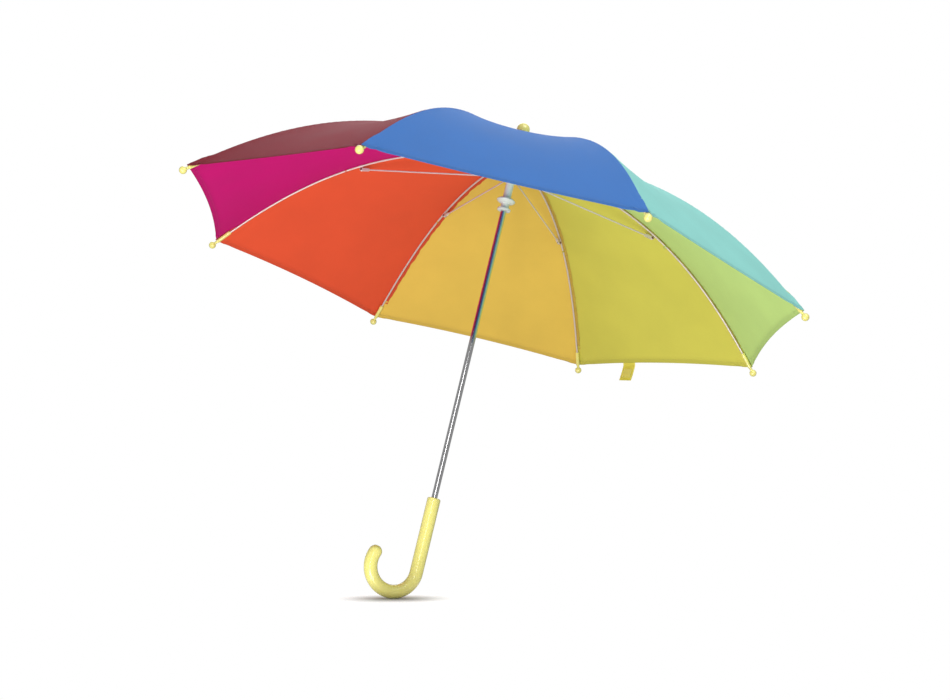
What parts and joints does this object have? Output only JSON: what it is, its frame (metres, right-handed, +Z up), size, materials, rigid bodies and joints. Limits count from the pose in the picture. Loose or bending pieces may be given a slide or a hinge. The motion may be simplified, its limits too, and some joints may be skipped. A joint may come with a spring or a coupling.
{
  "type": "children's umbrella",
  "caption": "Open children's stick umbrella: multicoloured panelled canopy on curved steel ribs, sliding runner with stretchers, chrome shaft, ball ferrule and tips, plastic hook handle.",
  "frame": {"origin": "on the shaft axis, inside the grip, 3.9 mm below the handle's top rim", "axes": "+Z up the shaft to the ferrule, +X the way the hook turns"},
  "size_m": [0.89, 0.89, 0.6845],
  "materials": {
    "shaft_chrome": "polished chrome-plated tube",
    "frame_steel": "white paint on steel wire, satin",
    "spring_wire": "bare drawn steel",
    "rivet_paint": "dark rivet heads",
    "yellow_plastic": "smooth translucent pale yellow plastic",
    "clear_plastic": "milky translucent plastic",
    "strap_cloth": "narrow woven yellow strap",
    "fastener_patch": "short loop pile",
    "cloth_magenta": "thin plain-woven polyester, slightly translucent",
    "cloth_orange_red": "thin plain-woven polyester, slightly translucent",
    "cloth_amber": "thin plain-woven polyester, slightly translucent",
    "cloth_olive_lemon": "thin plain-woven polyester, slightly translucent",
    "cloth_lime": "thin plain-woven polyester, slightly translucent",
    "cloth_aqua": "thin plain-woven polyester, slightly translucent",
    "cloth_blue": "thin plain-woven polyester, slightly translucent",
    "cloth_maroon": "thin plain-woven polyester, slightly translucent"
  },
  "bodies": {
    "shaft_and_handle": {"shaft": "shaft_chrome", "handle": "yellow_plastic", "ferrule": "yellow_plastic", "crown": "clear_plastic", "crown_wire": "spring_wire", "canopy_washer": "yellow_plastic"},
    "runner_body": {"runner": "clear_plastic", "runner_wire": "spring_wire"},
    "top_catch_body": {"top_catch": "spring_wire"},
    "bottom_catch_body": {"bottom_catch": "spring_wire"},
    "stretcher_a_body": {"stretcher_a": "frame_steel", "rivet_a": "rivet_paint"},
    "rib_a_body": {"rib_a": "frame_steel", "tip_a": "yellow_plastic"},
    "ab_a_half_body": {"panel_ab_a_half": "cloth_magenta"},
    "ha_a_half_body": {"panel_ha_a_half": "cloth_maroon"},
    "stretcher_b_body": {"stretcher_b": "frame_steel", "rivet_b": "rivet_paint"},
    "rib_b_body": {"rib_b": "frame_steel", "tip_b": "yellow_plastic"},
    "bc_b_half_body": {"panel_bc_b_half": "cloth_orange_red"},
    "ab_b_half_body": {"panel_ab_b_half": "cloth_magenta"},
    "stretcher_c_body": {"stretcher_c": "frame_steel", "rivet_c": "rivet_paint"},
    "rib_c_body": {"rib_c": "frame_steel", "tip_c": "yellow_plastic"},
    "cd_c_half_body": {"panel_cd_c_half": "cloth_amber"},
    "bc_c_half_body": {"panel_bc_c_half": "cloth_orange_red"},
    "stretcher_d_body": {"stretcher_d": "frame_steel", "rivet_d": "rivet_paint"},
    "rib_d_body": {"rib_d": "frame_steel", "tip_d": "yellow_plastic"},
    "de_d_half_body": {"panel_de_d_half": "cloth_olive_lemon", "tie_strap": "strap_cloth", "strap_fastener": "fastener_patch"},
    "cd_d_half_body": {"panel_cd_d_half": "cloth_amber"},
    "stretcher_e_body": {"stretcher_e": "frame_steel", "rivet_e": "rivet_paint"},
    "rib_e_body": {"rib_e": "frame_steel", "tip_e": "yellow_plastic"},
    "ef_e_half_body": {"panel_ef_e_half": "cloth_lime"},
    "de_e_half_body": {"panel_de_e_half": "cloth_olive_lemon"},
    "stretcher_f_body": {"stretcher_f": "frame_steel", "rivet_f": "rivet_paint"},
    "rib_f_body": {"rib_f": "frame_steel", "tip_f": "yellow_plastic"},
    "fg_f_half_body": {"panel_fg_f_half": "cloth_aqua"},
    "ef_f_half_body": {"panel_ef_f_half": "cloth_lime"},
    "stretcher_g_body": {"stretcher_g": "frame_steel", "rivet_g": "rivet_paint"},
    "rib_g_body": {"rib_g": "frame_steel", "tip_g": "yellow_plastic"},
    "gh_g_half_body": {"panel_gh_g_half": "cloth_blue"},
    "fg_g_half_body": {"panel_fg_g_half": "cloth_aqua"},
    "stretcher_h_body": {"stretcher_h": "frame_steel", "rivet_h": "rivet_paint"},
    "rib_h_body": {"rib_h": "frame_steel", "tip_h": "yellow_plastic"},
    "ha_h_half_body": {"panel_ha_h_half": "cloth_maroon"},
    "gh_h_half_body": {"panel_gh_h_half": "cloth_blue"}
  },
  "joints": [
    {"name": "runner_slide", "type": "slide", "parent": "shaft_and_handle", "child": "runner_body", "axis": [0, 0, -1], "range_m": [0, 0.41035], "deforming": ["panel_ab_a_half", "panel_ha_a_half", "panel_bc_b_half", "panel_ab_b_half", "panel_cd_c_half", "panel_bc_c_half", "panel_de_d_half", "panel_cd_d_half", "panel_ef_e_half", "panel_de_e_half", "panel_fg_f_half", "panel_ef_f_half", "panel_gh_g_half", "panel_fg_g_half", "panel_ha_h_half", "panel_gh_h_half", "tie_strap", "strap_fastener", "top_catch", "bottom_catch"]},
    {"name": "top_catch_press", "type": "slide", "parent": "shaft_and_handle", "child": "top_catch_body", "axis": [0, 1, 0], "range_m": [0, 0.0033], "stiffness_N_per_m": 600, "springref_m": -0.002},
    {"name": "bottom_catch_press", "type": "slide", "parent": "shaft_and_handle", "child": "bottom_catch_body", "axis": [0, 1, 0], "range_m": [0, 0.0033], "stiffness_N_per_m": 600, "springref_m": -0.002},
    {"name": "stretcher_a_hinge", "type": "hinge", "parent": "runner_body", "child": "stretcher_a_body", "pos_m": [0.0085, 0, 0.465], "axis": [0, -1, 0], "range_deg": [0, 78.81]},
    {"name": "rib_a_hinge", "type": "hinge", "parent": "stretcher_a_body", "child": "rib_a_body", "pos_m": [0.232, 0, 0.45472], "axis": [0, -1, 0], "range_deg": [-145.5, 0]},
    {"name": "ab_a_half_fold", "type": "hinge", "parent": "rib_a_body", "child": "ab_a_half_body", "pos_m": [0.008, 0, 0.4924], "axis": [0.925, 0, -0.3799], "range_deg": [-67.2, 0]},
    {"name": "ha_a_half_fold", "type": "hinge", "parent": "rib_a_body", "child": "ha_a_half_body", "pos_m": [0.008, 0, 0.4924], "axis": [0.925, 0, -0.3799], "range_deg": [0, 67.2]},
    {"name": "stretcher_b_hinge", "type": "hinge", "parent": "runner_body", "child": "stretcher_b_body", "pos_m": [0.00601, -0.00601, 0.465], "axis": [-0.7071, -0.7071, 0], "range_deg": [0, 78.81]},
    {"name": "rib_b_hinge", "type": "hinge", "parent": "stretcher_b_body", "child": "rib_b_body", "pos_m": [0.16405, -0.16405, 0.45472], "axis": [-0.7071, -0.7071, 0], "range_deg": [-145.5, 0]},
    {"name": "bc_b_half_fold", "type": "hinge", "parent": "rib_b_body", "child": "bc_b_half_body", "pos_m": [0.00566, -0.00566, 0.4924], "axis": [0.6541, -0.6541, -0.3799], "range_deg": [-67.2, 0]},
    {"name": "ab_b_half_fold", "type": "hinge", "parent": "rib_b_body", "child": "ab_b_half_body", "pos_m": [0.00566, -0.00566, 0.4924], "axis": [0.6541, -0.6541, -0.3799], "range_deg": [0, 67.2]},
    {"name": "stretcher_c_hinge", "type": "hinge", "parent": "runner_body", "child": "stretcher_c_body", "pos_m": [0, -0.0085, 0.465], "axis": [-1, 0, 0], "range_deg": [0, 78.81]},
    {"name": "rib_c_hinge", "type": "hinge", "parent": "stretcher_c_body", "child": "rib_c_body", "pos_m": [0, -0.232, 0.45472], "axis": [-1, 0, 0], "range_deg": [-145.5, 0]},
    {"name": "cd_c_half_fold", "type": "hinge", "parent": "rib_c_body", "child": "cd_c_half_body", "pos_m": [0, -0.008, 0.4924], "axis": [0, -0.925, -0.3799], "range_deg": [-67.2, 0]},
    {"name": "bc_c_half_fold", "type": "hinge", "parent": "rib_c_body", "child": "bc_c_half_body", "pos_m": [0, -0.008, 0.4924], "axis": [0, -0.925, -0.3799], "range_deg": [0, 67.2]},
    {"name": "stretcher_d_hinge", "type": "hinge", "parent": "runner_body", "child": "stretcher_d_body", "pos_m": [-0.00601, -0.00601, 0.465], "axis": [-0.7071, 0.7071, 0], "range_deg": [0, 78.81]},
    {"name": "rib_d_hinge", "type": "hinge", "parent": "stretcher_d_body", "child": "rib_d_body", "pos_m": [-0.16405, -0.16405, 0.45472], "axis": [-0.7071, 0.7071, 0], "range_deg": [-145.5, 0]},
    {"name": "de_d_half_fold", "type": "hinge", "parent": "rib_d_body", "child": "de_d_half_body", "pos_m": [-0.00566, -0.00566, 0.4924], "axis": [-0.6541, -0.6541, -0.3799], "range_deg": [-67.2, 0]},
    {"name": "cd_d_half_fold", "type": "hinge", "parent": "rib_d_body", "child": "cd_d_half_body", "pos_m": [-0.00566, -0.00566, 0.4924], "axis": [-0.6541, -0.6541, -0.3799], "range_deg": [0, 67.2]},
    {"name": "stretcher_e_hinge", "type": "hinge", "parent": "runner_body", "child": "stretcher_e_body", "pos_m": [-0.0085, 0, 0.465], "axis": [0, 1, 0], "range_deg": [0, 78.81]},
    {"name": "rib_e_hinge", "type": "hinge", "parent": "stretcher_e_body", "child": "rib_e_body", "pos_m": [-0.232, 0, 0.45472], "axis": [0, 1, 0], "range_deg": [-145.5, 0]},
    {"name": "ef_e_half_fold", "type": "hinge", "parent": "rib_e_body", "child": "ef_e_half_body", "pos_m": [-0.008, 0, 0.4924], "axis": [-0.925, 0, -0.3799], "range_deg": [-67.2, 0]},
    {"name": "de_e_half_fold", "type": "hinge", "parent": "rib_e_body", "child": "de_e_half_body", "pos_m": [-0.008, 0, 0.4924], "axis": [-0.925, 0, -0.3799], "range_deg": [0, 67.2]},
    {"name": "stretcher_f_hinge", "type": "hinge", "parent": "runner_body", "child": "stretcher_f_body", "pos_m": [-0.00601, 0.00601, 0.465], "axis": [0.7071, 0.7071, 0], "range_deg": [0, 78.81]},
    {"name": "rib_f_hinge", "type": "hinge", "parent": "stretcher_f_body", "child": "rib_f_body", "pos_m": [-0.16405, 0.16405, 0.45472], "axis": [0.7071, 0.7071, 0], "range_deg": [-145.5, 0]},
    {"name": "fg_f_half_fold", "type": "hinge", "parent": "rib_f_body", "child": "fg_f_half_body", "pos_m": [-0.00566, 0.00566, 0.4924], "axis": [-0.6541, 0.6541, -0.3799], "range_deg": [-67.2, 0]},
    {"name": "ef_f_half_fold", "type": "hinge", "parent": "rib_f_body", "child": "ef_f_half_body", "pos_m": [-0.00566, 0.00566, 0.4924], "axis": [-0.6541, 0.6541, -0.3799], "range_deg": [0, 67.2]},
    {"name": "stretcher_g_hinge", "type": "hinge", "parent": "runner_body", "child": "stretcher_g_body", "pos_m": [0, 0.0085, 0.465], "axis": [1, 0, 0], "range_deg": [0, 78.81]},
    {"name": "rib_g_hinge", "type": "hinge", "parent": "stretcher_g_body", "child": "rib_g_body", "pos_m": [0, 0.232, 0.45472], "axis": [1, 0, 0], "range_deg": [-145.5, 0]},
    {"name": "gh_g_half_fold", "type": "hinge", "parent": "rib_g_body", "child": "gh_g_half_body", "pos_m": [0, 0.008, 0.4924], "axis": [0, 0.925, -0.3799], "range_deg": [-67.2, 0]},
    {"name": "fg_g_half_fold", "type": "hinge", "parent": "rib_g_body", "child": "fg_g_half_body", "pos_m": [0, 0.008, 0.4924], "axis": [0, 0.925, -0.3799], "range_deg": [0, 67.2]},
    {"name": "stretcher_h_hinge", "type": "hinge", "parent": "runner_body", "child": "stretcher_h_body", "pos_m": [0.00601, 0.00601, 0.465], "axis": [0.7071, -0.7071, 0], "range_deg": [0, 78.81]},
    {"name": "rib_h_hinge", "type": "hinge", "parent": "stretcher_h_body", "child": "rib_h_body", "pos_m": [0.16405, 0.16405, 0.45472], "axis": [0.7071, -0.7071, 0], "range_deg": [-145.5, 0]},
    {"name": "ha_h_half_fold", "type": "hinge", "parent": "rib_h_body", "child": "ha_h_half_body", "pos_m": [0.00566, 0.00566, 0.4924], "axis": [0.6541, 0.6541, -0.3799], "range_deg": [-67.2, 0]},
    {"name": "gh_h_half_fold", "type": "hinge", "parent": "rib_h_body", "child": "gh_h_half_body", "pos_m": [0.00566, 0.00566, 0.4924], "axis": [0.6541, 0.6541, -0.3799], "range_deg": [0, 67.2]}
  ],
  "couplings": [
    {"joint": "stretcher_a_hinge", "follows": "runner_slide", "rad_per_m": 3.3512},
    {"joint": "rib_a_hinge", "follows": "runner_slide", "rad_per_m": -6.1879},
    {"joint": "ab_a_half_fold", "follows": "runner_slide", "rad_per_m": -2.8574},
    {"joint": "ha_a_half_fold", "follows": "runner_slide", "rad_per_m": 2.8574},
    {"joint": "stretcher_b_hinge", "follows": "runner_slide", "rad_per_m": 3.3512},
    {"joint": "rib_b_hinge", "follows": "runner_slide", "rad_per_m": -6.1879},
    {"joint": "bc_b_half_fold", "follows": "runner_slide", "rad_per_m": -2.8574},
    {"joint": "ab_b_half_fold", "follows": "runner_slide", "rad_per_m": 2.8574},
    {"joint": "stretcher_c_hinge", "follows": "runner_slide", "rad_per_m": 3.3512},
    {"joint": "rib_c_hinge", "follows": "runner_slide", "rad_per_m": -6.1879},
    {"joint": "cd_c_half_fold", "follows": "runner_slide", "rad_per_m": -2.8574},
    {"joint": "bc_c_half_fold", "follows": "runner_slide", "rad_per_m": 2.8574},
    {"joint": "stretcher_d_hinge", "follows": "runner_slide", "rad_per_m": 3.3512},
    {"joint": "rib_d_hinge", "follows": "runner_slide", "rad_per_m": -6.1879},
    {"joint": "de_d_half_fold", "follows": "runner_slide", "rad_per_m": -2.8574},
    {"joint": "cd_d_half_fold", "follows": "runner_slide", "rad_per_m": 2.8574},
    {"joint": "stretcher_e_hinge", "follows": "runner_slide", "rad_per_m": 3.3512},
    {"joint": "rib_e_hinge", "follows": "runner_slide", "rad_per_m": -6.1879},
    {"joint": "ef_e_half_fold", "follows": "runner_slide", "rad_per_m": -2.8574},
    {"joint": "de_e_half_fold", "follows": "runner_slide", "rad_per_m": 2.8574},
    {"joint": "stretcher_f_hinge", "follows": "runner_slide", "rad_per_m": 3.3512},
    {"joint": "rib_f_hinge", "follows": "runner_slide", "rad_per_m": -6.1879},
    {"joint": "fg_f_half_fold", "follows": "runner_slide", "rad_per_m": -2.8574},
    {"joint": "ef_f_half_fold", "follows": "runner_slide", "rad_per_m": 2.8574},
    {"joint": "stretcher_g_hinge", "follows": "runner_slide", "rad_per_m": 3.3512},
    {"joint": "rib_g_hinge", "follows": "runner_slide", "rad_per_m": -6.1879},
    {"joint": "gh_g_half_fold", "follows": "runner_slide", "rad_per_m": -2.8574},
    {"joint": "fg_g_half_fold", "follows": "runner_slide", "rad_per_m": 2.8574},
    {"joint": "stretcher_h_hinge", "follows": "runner_slide", "rad_per_m": 3.3512},
    {"joint": "rib_h_hinge", "follows": "runner_slide", "rad_per_m": -6.1879},
    {"joint": "ha_h_half_fold", "follows": "runner_slide", "rad_per_m": -2.8574},
    {"joint": "gh_h_half_fold", "follows": "runner_slide", "rad_per_m": 2.8574}
  ]
}
